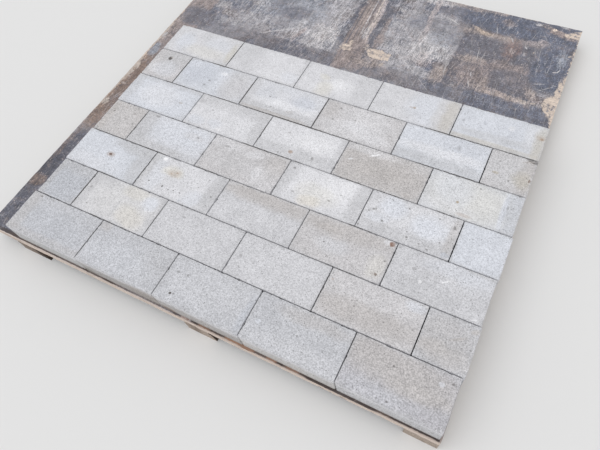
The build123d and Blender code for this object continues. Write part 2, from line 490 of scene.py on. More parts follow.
# Bare wood where film and face ply are torn off, which also lies lower
torn_patches = [
    (80, 303, 36, 17, 0.18, 1.0, bare_wood, -8, 3), (38, 318, 5, 12, 0.4, 0.8, bare_grey, 10, 2),
    (-22, 298, 18, 12, 0.3, 0.95, bare_wood), (-14, 320, 6, 12, 0.4, 0.8, bare_wood),
    (103, 268, 7, 6, 0.5, 0.7, bare_grey), (348, 285, 4, 3, 0.5, 0.8, bare_grey, 20, 2),
    (324, 302, 3, 4, 0.5, 0.7, bare_grey), (492, 274, 4, 3, 0.5, 0.8, bare_grey),
    (518, 276, 6, 3, 0.5, 0.8, bare_grey, -10, 2), (478, 463, 5, 3, 0.5, 0.8, bare_grey, 60, 2),
    (584, 285, 44, 58, 0.15, 1.0, bare_wood, 0, 1.2), (584, 573, 50, 19, 0.2, 1.0, bare_wood, 16, 1.3),
    (586, 340, 23, 74, 0.3, 0.95, bare_wood, 0, 1.6), (582, 480, 22, 8, 0.3, 0.9, bare_grey, 0, 1.3),
    (583, 420, 6, 205, 0.25, 1.0, bare_wood, 0, 8), (-582, 265, 7, 330, 0.25, 1.0, bare_wood, 0, 8),
    (-577, 150, 5, 60, 0.5, 0.7, bare_grey, 0, 3), (-573, -10, 7, 42, 0.5, 0.9, bare_grey, 0, 3),
    (-582, -120, 6, 60, 0.3, 1.0, bare_grey, 0, 6), (-582, -180, 3, 112, 0.3, 0.7, worn_tan, 0, 8),
    (0, 599, 620, 4, 0.35, 0.6, bare_grey, 0, 8),
]

# Scuffs and long scratches: x and y of both ends and the width in millimetres, strength
scratches = [
    (-290, 262, -195, 322, 3, 0.7), (-330, 270, -305, 288, 3, 0.5), (-155, 372, -120, 384, 2, 0.5),
    (-112, 300, -60, 305, 2, 0.4), (95, 352, 200, 270, 2.2, 0.7), (200, 270, 262, 214, 1.6, 0.5),
    (160, 430, 185, 395, 3, 0.6), (212, 522, 250, 503, 4, 0.7), (355, 530, 362, 505, 2.5, 0.7),
    (358, 598, 353, 585, 2, 0.6), (335, 425, 340, 385, 2.5, 0.6), (405, 500, 415, 482, 3, 0.7),
    (450, 478, 456, 470, 4, 0.7), (476, 480, 482, 455, 2.5, 0.5), (492, 480, 502, 375, 1.6, 0.5),
    (340, 330, 346, 312, 3, 0.7), (342, 300, 352, 272, 3, 0.6), (505, 345, 535, 356, 1.8, 0.6),
    (520, 322, 565, 362, 1.8, 0.6), (515, 330, 545, 325, 1.4, 0.5), (540, 405, 552, 408, 3, 0.9),
    (552, 408, 557, 420, 2.5, 0.9), (528, 480, 530, 425, 5, 0.35), (545, 470, 555, 425, 5, 0.35),
]

# A mark is measured along and across itself, each way by a sum of the east and the north
mark_sums = [way + part for way in ("Along", "Across") for part in (" by east", " by north", " start")]


def new_mark():
    """Node group that says how far inside a rounded oblong on the piece a place is."""
    group = bpy.data.node_groups.new("mark", "ShaderNodeTree")
    for name in ("East", "North", *mark_sums, "Squareness", "Outer", "Inner", "Strength"):
        group.interface.new_socket(name=name, in_out="INPUT", socket_type="NodeSocketFloat")
    group.interface.new_socket(name="Share", in_out="OUTPUT", socket_type="NodeSocketFloat")
    given = group.nodes.new("NodeGroupInput").outputs
    powers = []
    for way in ("Along", "Across"):
        reach = given[way + " start"]
        for side in ("North", "East"):
            inputs = {0: given[side], 1: given[way + " by " + side.lower()], 2: reach}
            reach = add_node(group, "Math", inputs, operation="MULTIPLY_ADD")
        reach = math_node(group, "ABSOLUTE", reach)
        powers.append(math_node(group, "POWER", reach, given["Squareness"]))
    total = math_node(group, "ADD", *powers)
    share = between(group, total, given["Outer"], given["Inner"], 0.0, given["Strength"])
    group.links.new(share, group.nodes.new("NodeGroupOutput").inputs["Share"])
    return group


mark_group = new_mark()


def mark(tree, spot, x, y, half_x, half_y, softness, strength, turn=0, squareness=2):
    """The share of one mark at a spot, which is its east and its north."""
    cosine, sine = math.cos(math.radians(turn)), math.sin(math.radians(turn))
    inputs = {
        "East": spot[0],
        "North": spot[1],
        "Squareness": squareness,
        "Outer": (1 + softness) ** squareness,
        "Inner": (1 - softness) ** squareness,
        "Strength": strength,
    }
    for way, by_east, by_north, half in (
        ("Along", cosine, sine, half_x * mm),
        ("Across", -sine, cosine, half_y * mm),
    ):
        inputs[way + " by east"] = by_east / half
        inputs[way + " by north"] = by_north / half
        inputs[way + " start"] = -(by_east * x + by_north * y) * mm / half
    return add_node(tree, "Group", inputs, node_tree=mark_group)


def break_up(tree, share, speckle):
    """A soft share turned into many small specks that cover as much."""
    return between(tree, math_node(tree, "ADD", share, speckle), 0.16, 0.84)


def paint(tree, colour, rows, spot, crisp_spot, crisp_below, speckle=None):
    """Lay marks over a colour, the narrow ones at a crisper spot, in specks where given."""
    for x, y, half_x, half_y, softness, strength, laid, *shape in rows:
        chosen = crisp_spot if min(half_x, half_y) < crisp_below else spot
        share = mark(tree, chosen, x, y, half_x, half_y, softness, strength, *shape)
        if speckle is not None:
            share = break_up(tree, share, speckle)
        colour = lay_over(tree, share, colour, laid)
    return colour


def vary(tree, colour, share, least, most):
    """A colour made darker or lighter, by two factors, as a share goes from 0 to 1."""
    factor = add_node(tree, "MapRange", {0: share, 1: 0.0, 2: 1.0, 3: least, 4: most})
    return add_node(tree, "VectorMath", {0: colour, "Scale": factor}, operation="SCALE")


def scratch_mark(x1, y1, x2, y2, width, strength):
    """A scratch between two points, as a mark."""
    length, turn = math.hypot(x2 - x1, y2 - y1), math.degrees(math.atan2(y2 - y1, x2 - x1))
    return (x1 + x2) / 2, (y1 + y2) / 2, length / 2, width / 2, 0.6, strength, turn


def turned(tree, place, degrees, stretch=(1.0, 1.0, 1.0)):
    """The place turned on the flat, and drawn out."""
    return add_node(tree, "Mapping", {0: place, 2: (0, 0, math.radians(degrees)), 3: stretch})


def scored_lines(tree, place, turn, stretch, pitch, width, strength):
    """A net of hairlines, drawn out one way and broken up, as dragged loads leave it."""
    drawn = turned(tree, place, turn, stretch)
    inputs = {"Vector": drawn, "Scale": 1 / pitch, "Randomness": 1.0}
    gap = add_node(tree, "TexVoronoi", inputs, feature="DISTANCE_TO_EDGE")
    lines = between(tree, gap, width / pitch, 0.3 * width / pitch, 0.0, strength)
    broken = between(tree, grain(tree, drawn, 1.3 / pitch, 4.0, 0.75), 0.52, 0.66)
    return times(tree, lines, broken)


def dots(tree, place, scale, rim, core, test=None, limit=0.0):
    """Round dots at scattered points, all or those whose random tone passes a test."""
    distance = add_node(tree, "TexVoronoi", {"Vector": place, "Scale": scale})
    share = between(tree, distance, rim, core)
    if test is None:
        return share
    tone = add_node(tree, "SeparateColor", {0: distance.node.outputs["Color"]})
    return times(tree, share, math_node(tree, test, tone, limit))


def worn_film():
    """The top of the board: phenolic film under dust, wear, scratches and bare patches."""
    finish, tree, place = new_finish("worn_film")
    wide = stir(tree, place, 24.0, 0.011)
    near = spot_of(tree, stir(tree, wide, 90.0, 0.0045))
    ragged = spot_of(tree, stir(tree, stir(tree, place, 45.0, 0.010), 200.0, 0.0045))
    fine = spot_of(tree, stir(tree, place, 160.0, 0.0014))
    clouds = grain(tree, place, 7.0, 5.0, 0.62)
    hues = grain(tree, place, 15.0, 4.0, 0.6)
    blotches = grain(tree, wide, 34.0, 5.0, 0.65)
    specks = grain(tree, place, 300.0, 3.0, 0.75)
    hairs = grain(tree, turned(tree, place, 4.0), 330.0, 3.0, 0.7, (1.0, 0.16, 1.0))
    cross_hairs = grain(tree, turned(tree, place, 92.0), 300.0, 3.0, 0.7, (1.0, 0.16, 1.0))
    both = math_node(tree, "ADD", times(tree, hairs, 0.6), times(tree, specks, 0.4))
    speckle = between(tree, both, 0.34, 0.66, -0.22, 0.22)
    film = lay_over(tree, between(tree, hues, 0.42, 0.60), film_blue, film_brown)
    dusty = between(tree, clouds, 0.34, 0.64, 0.10, 0.80)
    colour = lay_over(tree, break_up(tree, dusty, speckle), film, dust_grey)
    cloudy = between(tree, blotches, 0.54, 0.70, 0.0, 0.6)
    colour = lay_over(tree, break_up(tree, cloudy, speckle), colour, dust_pale)
    colour = paint(tree, colour, board_marks, near, fine, crisp_on_film, speckle)
    # what the wear leaves: warmer and colder spots, streaks both ways, specks and dust
    warm = between(tree, grain(tree, place, 52.0, 5.0, 0.72), 0.50, 0.68, 0.0, 0.50)
    colour = lay_over(tree, warm, colour, worn_brown)
    cold = between(tree, grain(tree, wide, 47.0, 5.0, 0.72), 0.52, 0.70, 0.0, 0.50)
    colour = lay_over(tree, cold, colour, film_blue)
    colour = vary(tree, colour, between(tree, blotches, 0.35, 0.65), 1.10, 0.90)
    for turn, scale, least, most in (
        (3.0, 95.0, 0.88, 1.13),
        (-31.0, 75.0, 0.95, 1.06),
        (88.0, 110.0, 0.94, 1.07),
    ):
        streaks = grain(tree, turned(tree, wide, turn), scale, 4.0, 0.7, (1.0, 0.2, 1.0))
        colour = vary(tree, colour, between(tree, streaks, 0.34, 0.66), least, most)
    colour = vary(tree, colour, between(tree, specks, 0.32, 0.68), 0.65, 1.37)
    colour = vary(tree, colour, between(tree, hairs, 0.34, 0.66), 0.84, 1.17)
    colour = vary(tree, colour, between(tree, cross_hairs, 0.34, 0.66), 0.88, 1.13)
    dust = between(tree, grain(tree, place, 240.0, 4.0, 0.8), 0.54, 0.72, 0.0, 0.42)
    colour = lay_over(tree, dust, colour, dust_grey)
    # scoring, long scratches, small splashes and the near margin
    for turn, stretch, pitch, width, strength in (
        (4.0, (1.0, 0.22, 1.0), 0.026, 0.0008, 0.50),
        (-24.0, (1.0, 0.25, 1.0), 0.040, 0.0008, 0.48),
        (58.0, (1.0, 0.20, 1.0), 0.050, 0.0008, 0.32),
        (98.0, (1.0, 0.22, 1.0), 0.040, 0.0007, 0.32),
    ):
        lines = scored_lines(tree, place, turn, stretch, pitch, width, strength)
        colour = lay_over(tree, lines, colour, dust_pale)
    for scratch in scratches:
        share = mark(tree, fine, *scratch_mark(*scratch))
        colour = lay_over(tree, break_up(tree, share, speckle), colour, dust_pale)
    splashes = dots(tree, place, 70.0, 0.16, 0.07, "LESS_THAN", 0.10)
    colour = lay_over(tree, times(tree, splashes, 0.8), colour, bare_grey)
    # the near margin, whose seam carries painted contact shade at the blocks' feet
    colour = paint(tree, colour, margin_marks, fine, fine, 0)
    # torn patches: soiled face ply with its grain across the board, and scraps of film
    wood_grain = grain(tree, place, 300.0, 4.0, 0.6, (0.05, 1.0, 1.0))
    film_gone = between(tree, grain(tree, place, 95.0, 5.0, 0.7), 0.40, 0.52, 0.35, 1.0)
    soiled = between(tree, grain(tree, place, 150.0, 4.0, 0.7), 0.46, 0.62, 0.0, 0.4)
    bare = 0.0
    for x, y, half_x, half_y, softness, strength, wood, *shape in torn_patches:
        share = mark(tree, ragged, x, y, half_x, half_y, softness, strength, *shape)
        share = break_up(tree, times(tree, share, film_gone), speckle)
        wood = lay_over(tree, between(tree, wood_grain, 0.4, 0.7, 0.0, 0.6), wood, worn_tan)
        wood = lay_over(tree, soiled, wood, wood_dirt)
        colour = lay_over(tree, share, colour, wood)
        bare = math_node(tree, "MAXIMUM", bare, share)
    film_gloss = between(tree, blotches, 0.3, 0.7, 0.50, 0.74)
    gloss = add_node(tree, "Mix", {0: bare, 2: film_gloss, 3: 0.85})
    relief = math_node(tree, "SUBTRACT", times(tree, specks, 0.35), times(tree, bare, 0.8))
    relief = math_node(tree, "ADD", relief, times(tree, wood_grain, bare))
    dress(tree, colour, gloss, relief, 0.5 * mm)
    return finish


def ply_edge():
    """The sawn edge of the board: plies by turns along and across, thin glue lines, dirt."""
    finish, tree, place = new_finish("ply_edge")
    low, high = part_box("plywood_board")
    east, north, height = spot_of(tree, stir(tree, place, 30.0, 0.0003))
    height = math_node(tree, "SUBTRACT", height, low.z)
    ply = math_node(tree, "DIVIDE", height, (high.z - low.z) / ply_count)
    on_side = math_node(tree, "ABSOLUTE", east)
    on_side = math_node(tree, "GREATER_THAN", on_side, high.x - 3 * mm)
    number = math_node(tree, "ADD", math_node(tree, "FLOOR", ply), on_side)
    crosswise = math_node(tree, "MODULO", number, 2.0)
    glue = math_node(tree, "SUBTRACT", math_node(tree, "FRACT", ply), 0.5)
    glue = between(tree, math_node(tree, "ABSOLUTE", glue), 0.40, 0.50, 0.0, 0.40)
    along = grain(tree, place, 420.0, 4.0, 0.6, (0.06, 0.06, 1.0))
    pores = grain(tree, place, 900.0, 2.0, 0.6)
    stains = grain(tree, place, 14.0, 4.0, 0.65)
    fibres = between(tree, along, 0.4, 0.65)
    long_grain = lay_over(tree, fibres, tint(232, 218, 208), tint(218, 203, 192))
    cut_ends = between(tree, pores, 0.4, 0.6)
    end_grain = lay_over(tree, cut_ends, tint(216, 200, 189), tint(196, 179, 166))
    colour = lay_over(tree, crosswise, long_grain, end_grain)
    colour = lay_over(tree, glue, colour, tint(140, 118, 104))
    colour = lay_over(tree, between(tree, stains, 0.54, 0.70, 0.0, 0.5), colour, tint(166, 150, 140))
    dust = between(tree, grain(tree, place, 60.0, 5.0), 0.54, 0.70, 0.0, 0.5)
    colour = lay_over(tree, dust, colour, tint(214, 207, 202))
    dress(tree, colour, 0.86, lay_over(tree, crosswise, along, pores), 0.5 * mm)
    return finish


def film_underside():
    """The underside of the board: the same film, stained and splashed, little worn."""
    finish, tree, place = new_finish("film_underside")
    blotches = grain(tree, place, 12.0, 5.0, 0.6)
    splashes = grain(tree, place, 55.0, 5.0, 0.6)
    colour = lay_over(tree, between(tree, blotches, 0.4, 0.65), tint(78, 62, 58), tint(104, 92, 88))
    colour = lay_over(tree, between(tree, splashes, 0.60, 0.66, 0.0, 0.8), colour, dust_grey)
    dress(tree, colour, between(tree, splashes, 0.3, 0.7, 0.4, 0.8), splashes, 0.3 * mm)
    return finish


board_low, board_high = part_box("plywood_board")
bpy.ops.object.select_all(action="DESELECT")
bpy.ops.mesh.primitive_grid_add(
    x_subdivisions=board_cells[0], y_subdivisions=board_cells[1], size=1, location=(0, 0, board_high.z)
)
board = bpy.context.object
board.name = "faced_board"
board.scale = (board_high.x - board_low.x, board_high.y - board_low.y, 1)
bpy.ops.object.transform_apply(location=True, rotation=True, scale=True)

# The corners are rounded, then one ply after another is laid up downwards
bpy.ops.object.mode_set(mode="EDIT")
corner_at = Vector((board_high.x - mm, board_high.y - mm))
pick(board, "VERT", lambda ends: abs(ends[0].x) > corner_at.x and abs(ends[0].y) > corner_at.y)
bpy.ops.mesh.bevel(offset=board_corner, segments=4, affect="VERTICES")
bpy.ops.mesh.select_mode(type="FACE")
bpy.ops.mesh.select_all(action="SELECT")
ply_thickness = (board_high.z - board_low.z) / ply_count
for ply in range(ply_count):
    bpy.ops.mesh.extrude_region_move(TRANSFORM_OT_translate={"value": (0, 0, -ply_thickness)})
bpy.ops.mesh.select_all(action="SELECT")
bpy.ops.mesh.normals_make_consistent(inside=False)
bpy.ops.object.mode_set(mode="OBJECT")


def torn_at(point):
    """How far a point of the board lies inside a torn patch, from 0 to 1."""
    if point.z < board_high.z - face_slack:
        return 0.0
    wobble = noise.noise_vector(Vector((point.x, point.y, 0)) * torn_waves) * torn_wobble
    deepest = 0.0
    for x, y, half_x, half_y, softness, strength, wood, *shape in torn_patches:
        turn, squareness = shape or (0, 2)
        cosine, sine = math.cos(math.radians(turn)), math.sin(math.radians(turn))
        east, north = point.x / mm - x + wobble.x, point.y / mm - y + wobble.y
        along = abs(east * cosine + north * sine) / half_x
        across = abs(north * cosine - east * sine) / half_y
        reach = (along**squareness + across**squareness) ** (1 / squareness)
        depth = min(1.0, max(0.0, (torn_outer - reach) / torn_fade))
        deepest = max(deepest, strength * depth)
    return deepest


def on_rim(point):
    """1 on the edge of the board, more worn at its far and right side."""
    x_gap, y_gap = board_high.x - abs(point.x), board_high.y - abs(point.y)
    if min(x_gap, y_gap) > rim_width:
        return 0.0
    return 1.0 if point.y > 0 or point.x > 0 else 0.6


noise.seed_set(torn_seed)
group_points(board, "torn", torn_at)
wear_down(board, None, torn_depth, "torn")
group_points(board, "rim", on_rim)
wear_down(board, new_relief("worn_edge", 0.030, 4, ramp=(0.35, 0.85)), edge_wear, "rim")
wear_down(board, new_relief("rough_plies", 0.004, 1), rough_ply_wear, "rim")
for finish in (worn_film(), ply_edge(), film_underside()):
    board.data.materials.append(finish)
for face in board.data.polygons:
    face.material_index = 0 if face.normal.z > 0.5 else 2 if face.normal.z < -0.5 else 1
hand_over(board, "plywood_board")


# Pavers
# Blocks of pressed concrete, seven courses in half bond, standing on the board with no
# bedding. Each came out of the mould with rounded upright corners and a small arris
# round its top, and each has dried with its own bloom, tone, pits and stains.

corner_radius = 2.5 * mm
arris = 1.2 * mm
face_pitch = 2.8 * mm
side_pitch = 4.2 * mm
face_wave = 0.35 * mm
face_grit = 0.25 * mm
chip_depth = 1.3 * mm
chip_reach = 1.5 * mm
crisp_on_face = 7
rim_inset = 4
# The facing of finer mix ends between these depths below the top, and the sides grow
# darker towards the board from this high
facing_ends = (30 * mm, 8 * mm)
dark_foot_height = 9 * mm
# How far grit is darker than a face of middle tone, how much less that is for each step
# of a paler tone, and shares of it: in the far course, and for grit paler than the face
grit_contrast, contrast_step, middle_tone = 0.268, 0.0045, 196
far_course_share, pale_grit_share = 0.8, 0.93

# Tones of the cast face
cool_grey = (194, 195, 200)
plain_grey = (203, 203, 207)
warm_grey = (200, 198, 200)
pale_grey = (211, 211, 215)
blue_grey = (207, 210, 217)
beige_grey = (193, 190, 190)
dull_grey = (186, 185, 190)
dull_blue = (188, 190, 196)

# Colours of what lies on it
lime_white = tint(224, 224, 228)
lime_blue = tint(215, 218, 226)
lime_cream = tint(220, 217, 210)
damp_grey = tint(192, 192, 195)
damp_blue = tint(188, 191, 199)
clay_beige = tint(189, 185, 184)
clay_brown = tint(182, 177, 174)
rust_stain = tint(158, 128, 102)
rust_core = tint(152, 124, 112)
dark_pit = tint(92, 88, 86)
splash = tint(240, 240, 243)

# The courses from the near one, and in each the blocks from the left: tone of the cast
# face, then its marks, which are given as the board's are
blocks = {
    "paver_course_1_no_1": (cool_grey, [
        (-370, -550, 80, 32, 0.8, 0.4, damp_blue), (-470, -540, 16, 60, 0.9, 0.45, clay_beige),
        (-375, -586, 110, 8, 0.9, 0.35, clay_beige), (-452, -493, 3, 2, 0.4, 0.7, dark_pit),
    ]),
    "paver_course_1_no_2": (cool_grey, [
        (-190, -550, 75, 30, 0.7, 0.25, lime_blue), (-255, -497, 16, 10, 0.6, 0.5, clay_beige),
        (-90, -520, 30, 30, 0.7, 0.35, damp_grey),
    ]),
    "paver_course_1_no_3": (cool_grey, [
        (50, -530, 80, 40, 0.7, 0.22, lime_white), (147, -552, 8, 34, 0.8, 0.7, damp_blue),
        (-22, -571, 2.8, 2.6, 0.4, 1.0, dark_pit, 20, 2), (-15, -569, 2.2, 1.8, 0.4, 0.5, dark_pit),
        (-9, -522, 2.6, 3, 0.5, 0.5, dark_pit), (-33, -523, 4.5, 2.2, 0.5, 0.4, dark_pit),
    ]),
    "paver_course_1_no_4": (cool_grey, [
        (285, -503, 60, 12, 0.8, 0.5, clay_beige), (260, -575, 90, 14, 0.8, 0.25, lime_white),
        (177, -547, 5, 4, 0.7, 0.75, lime_blue), (262, -542, 2, 2, 0.5, 0.5, dark_pit),
    ]),
    "paver_course_1_no_5": (dull_grey, [
        (455, -518, 95, 28, 0.9, 0.8, clay_beige, -4, 2), (520, -545, 50, 10, 0.8, 0.6, clay_beige),
        (440, -578, 60, 12, 0.8, 0.2, lime_blue), (545, -512, 5, 4, 0.6, 0.5, lime_blue),
        (454, -517, 1.8, 1.8, 0.5, 0.7, dark_pit), (564, -503, 2.2, 2, 0.5, 0.7, dark_pit),
        (466, -582, 2.4, 1.8, 0.5, 0.6, dark_pit),
    ]),
    "half_paver_course_2_left": (dull_blue, [
        (-425, -392, 48, 14, 0.8, 0.6, damp_grey), (-430, -440, 45, 36, 0.7, 0.35, damp_blue),
        (-468, -440, 8, 40, 0.8, 0.3, clay_beige),
    ]),
    "paver_course_2_no_1": (pale_grey, [
        (-265, -430, 75, 44, 0.9, 0.2, lime_cream),
        (-218, -458, 36, 24, 0.5, 0.65, tint(214, 210, 204), -20, 2),
        (-240, -395, 30, 14, 0.6, 0.45, tint(213, 209, 201)), (-192, -405, 18, 16, 0.5, 0.8, lime_blue),
        (-360, -430, 10, 46, 0.9, 0.6, damp_grey), (-165, -430, 8, 46, 0.9, 0.5, damp_grey),
        (-265, -450, 3, 26, 0.6, 0.5, damp_grey), (-335, -394, 40, 13, 0.8, 0.4, damp_grey),
        (-358, -422, 3, 2.5, 0.5, 0.4, dark_pit), (-338, -464, 1.8, 1.5, 0.5, 0.6, dark_pit),
    ]),
    "paver_course_2_no_2": (plain_grey, [
        (-60, -430, 90, 40, 0.8, 0.12, lime_white), (-98, -404, 3, 2, 0.5, 0.35, dark_pit),
    ]),
    "paver_course_2_no_3": (plain_grey, [
        (160, -430, 95, 45, 0.9, 0.18, lime_white), (70, -435, 3, 3, 0.5, 0.35, dark_pit),
    ]),
    "paver_course_2_no_4": (warm_grey, [
        (360, -400, 95, 20, 0.9, 0.18, lime_white), (355, -452, 90, 17, 0.9, 0.75, clay_beige),
        (452, -390, 20, 10, 0.6, 0.6, lime_blue), (274, -404, 2.4, 2, 0.5, 0.3, rust_stain),
        (338, -440, 2, 1.6, 0.5, 0.5, dark_pit),
    ]),
    "half_paver_course_2_right": (cool_grey, [
        (520, -425, 50, 36, 0.8, 0.5, clay_beige), (500, -452, 26, 14, 0.6, 0.35, clay_brown),
        (572, -393, 8, 4, 0.8, 0.6, clay_brown, 30, 2),
        (545, -420, 14, 2.5, 0.6, 0.5, clay_brown, 30, 2), (576, -468, 4, 4, 0.5, 0.7, lime_white),
        (535, -462, 50, 16, 0.8, 0.5, clay_beige), (573, -431, 2, 1.6, 0.5, 0.7, dark_pit),
    ]),
    "paver_course_3_no_1": (blue_grey, [
        (-405, -335, 72, 46, 0.9, 0.5, lime_blue), (-420, -362, 60, 16, 0.8, 0.3, lime_white),
        (-320, -284, 50, 14, 0.8, 0.7, damp_grey), (-285, -325, 17, 46, 0.8, 0.65, damp_grey),
        (-375, -324, 9, 6, 0.7, 0.4, rust_stain), (-376, -324, 4.2, 2.6, 0.4, 0.9, tint(102, 78, 62)),
    ]),
    "paver_course_3_no_2": (pale_grey, [
        (-150, -325, 70, 44, 0.9, 0.35, lime_white), (-250, -300, 16, 30, 0.8, 0.3, damp_grey),
        (-230, -332, 15, 40, 0.8, 0.45, lime_blue, 6, 2),
        (-110, -355, 26, 16, 0.6, 0.55, lime_blue, 30, 2), (-72, -325, 13, 50, 0.9, 0.75, damp_grey),
        (-262, -325, 7, 50, 0.8, 0.5, damp_grey), (-195, -308, 24, 13, 0.6, 0.7, lime_cream),
        (-190, -311, 11, 8, 0.9, 0.28, rust_stain, 20, 2),
        (-184, -307, 3, 1.6, 0.6, 0.5, rust_stain, 30, 2),
        (-197, -314, 3, 1.5, 0.6, 0.4, rust_stain, -20, 2), (-236, -282, 6, 4.5, 0.3, 1.0, splash),
        (-237, -352, 2.2, 1.8, 0.4, 0.7, dark_pit), (-197, -353, 2, 2.8, 0.4, 0.8, dark_pit),
        (-178, -356, 2, 1.8, 0.4, 0.6, dark_pit), (-165, -353, 1.8, 1.6, 0.4, 0.7, dark_pit),
        (-147, -353, 2.2, 1.6, 0.4, 0.7, dark_pit), (-137, -372, 2.6, 3, 0.4, 0.9, damp_blue),
        (-72, -333, 2.2, 2, 0.4, 0.6, dark_pit), (-100, -294, 2.4, 1.6, 0.4, 0.5, dark_pit),
    ]),
    "paver_course_3_no_3": (plain_grey, [
        (60, -287, 110, 16, 0.9, 0.85, clay_beige), (20, -345, 60, 26, 0.7, 0.2, lime_white),
    ]),
    "paver_course_3_no_4": (warm_grey, [
        (240, -290, 90, 17, 0.8, 0.7, clay_beige), (215, -298, 24, 8, 0.6, 0.4, clay_brown),
        (240, -335, 30, 14, 0.7, 0.3, lime_blue), (345, -345, 18, 22, 0.6, 0.35, lime_cream),
        (346, -281, 8, 5, 0.5, 0.8, lime_white), (356, -281, 5.5, 5.5, 0.25, 1.0, rust_core, 20, 3),
        (346, -360, 7, 3.5, 0.6, 0.6, clay_brown),
        (350, -359, 3.2, 2.6, 0.35, 0.9, tint(142, 130, 124)), (219, -333, 2, 1.8, 0.4, 0.6, dark_pit),
        (356, -324, 2, 1.8, 0.4, 0.6, dark_pit),
    ]),
    "paver_course_3_no_5": (plain_grey, [
        (510, -290, 60, 14, 0.8, 0.45, lime_blue), (545, -300, 26, 20, 0.7, 0.15, lime_blue),
        (440, -355, 60, 18, 0.7, 0.35, damp_grey), (486, -317, 8, 1.6, 0.5, 0.85, splash, 40, 2),
        (438, -338, 3, 4, 0.5, 0.7, splash), (417, -315, 4, 3, 0.6, 0.35, dark_pit),
        (560, -372, 10, 1.5, 0.5, 0.5, splash, 25, 2),
    ]),
    "half_paver_course_4_left": (beige_grey, [
        (-466, -215, 9, 46, 0.9, 0.45, clay_brown), (-420, -225, 36, 40, 0.7, 0.15, lime_white),
        (-459, -203, 2.4, 2.2, 0.4, 0.7, dark_pit), (-400, -192, 5, 2.4, 0.6, 0.35, dark_pit),
        (-386, -222, 2.4, 2, 0.5, 0.45, dark_pit), (-436, -181, 6, 2, 0.6, 0.5, clay_brown),
    ]),
    "paver_course_4_no_1": (plain_grey, [
        (-262, -205, 66, 34, 0.8, 0.75, lime_blue), (-190, -215, 26, 42, 0.8, 0.55, lime_blue),
        (-205, -197, 22, 10, 0.6, 0.3, clay_beige), (-350, -219, 18, 50, 0.8, 0.65, damp_grey),
        (-270, -262, 80, 8, 0.9, 0.45, damp_grey), (-336, -175, 6, 3, 0.5, 0.45, dark_pit),
        (-197, -196, 4, 2.4, 0.5, 0.35, dark_pit),
    ]),
    "paver_course_4_no_2": (warm_grey, [
        (30, -200, 26, 32, 0.6, 0.5, clay_beige), (-90, -215, 50, 34, 0.7, 0.35, damp_grey),
        (-35, -187, 22, 9, 0.6, 0.5, lime_white, 15, 2), (-8, -232, 8, 18, 0.6, 0.35, lime_white),
        (-118, -182, 36, 12, 0.8, 0.4, lime_white), (-115, -190, 8, 2.5, 0.6, 0.35, dark_pit),
        (20, -240, 50, 26, 0.7, 0.25, lime_white),
    ]),
    "paver_course_4_no_3": (pale_grey, [
        (155, -212, 78, 46, 0.8, 0.75, lime_white), (190, -200, 42, 26, 0.6, 0.35, splash),
        (247, -219, 13, 50, 0.9, 0.6, damp_grey), (62, -219, 14, 50, 0.8, 0.55, damp_grey),
        (143, -256, 20, 12, 0.8, 0.6, tint(218, 211, 200)), (150, -232, 40, 22, 0.7, 0.4, lime_cream),
        (70, -183, 3.5, 2.4, 0.5, 0.5, dark_pit), (184, -235, 3.5, 2.2, 0.5, 0.5, dark_pit),
        (203, -211, 3, 2, 0.5, 0.35, dark_pit), (96, -244, 4, 2.4, 0.5, 0.3, dark_pit),
    ]),
    "paver_course_4_no_4": (plain_grey, [
        (365, -208, 78, 36, 0.9, 0.6, lime_white), (325, -195, 26, 22, 0.6, 0.8, lime_blue),
        (412, -215, 30, 24, 0.8, 0.85, lime_blue), (300, -232, 22, 10, 0.6, 0.5, lime_blue),
        (370, -255, 95, 10, 0.8, 0.5, damp_grey), (464, -215, 8, 40, 0.8, 0.5, clay_beige),
        (466, -264, 9, 7, 0.6, 0.9, damp_blue), (285, -215, 2.8, 2.4, 0.4, 0.6, dark_pit),
        (290, -212, 2, 3, 0.4, 0.5, dark_pit), (313, -236, 2.8, 2.4, 0.4, 0.65, dark_pit),
        (276, -222, 2, 1.8, 0.4, 0.5, dark_pit), (376, -253, 2.6, 2.2, 0.4, 0.6, dark_pit),
        (372, -240, 2, 1.6, 0.4, 0.5, dark_pit), (405, -258, 2, 1.6, 0.4, 0.5, dark_pit),
        (357, -184, 2.4, 2, 0.4, 0.55, dark_pit), (316, -177, 2, 1.8, 0.4, 0.5, dark_pit),
        (426, -183, 2.4, 2, 0.4, 0.5, dark_pit), (462, -192, 3, 5, 0.4, 0.55, dark_pit, 20, 2),
        (444, -238, 2.2, 2, 0.4, 0.5, dark_pit), (268, -264, 2.2, 3, 0.4, 0.7, dark_pit),
        (425, -264, 2.6, 1.8, 0.4, 0.5, dark_pit),
    ]),
    "half_paver_course_4_right": (blue_grey, [
        (528, -219, 50, 50, 0.9, 0.65, lime_blue), (505, -203, 2, 1.6, 0.4, 0.4, dark_pit),
    ]),
    "paver_course_5_no_1": (blue_grey, [
        (-368, -112, 74, 44, 0.8, 0.75, lime_blue), (-380, -110, 46, 30, 0.7, 0.45, lime_white),
        (-465, -112, 13, 50, 0.8, 0.45, damp_grey), (-370, -66, 100, 6, 0.9, 0.4, damp_grey),
        (-307, -113, 5, 3, 0.6, 0.7, clay_beige),
    ]),
    "paver_course_5_no_2": (pale_grey, [
        (-165, -76, 100, 14, 0.8, 0.5, damp_grey), (-170, -122, 78, 32, 0.9, 0.5, lime_white),
        (-238, -145, 20, 14, 0.6, 0.6, lime_blue), (-185, -140, 16, 12, 0.6, 0.5, lime_blue),
        (-70, -112, 12, 46, 0.8, 0.55, damp_grey), (-212, -102, 2.4, 2, 0.4, 0.4, dark_pit),
        (-255, -85, 8, 5, 0.6, 0.2, dark_pit, 30, 2), (-165, -152, 8, 4, 0.5, 0.5, splash),
    ]),
    "paver_course_5_no_3": (pale_grey, [
        (45, -97, 92, 32, 0.9, 0.6, lime_white), (85, -105, 40, 22, 0.7, 0.35, splash),
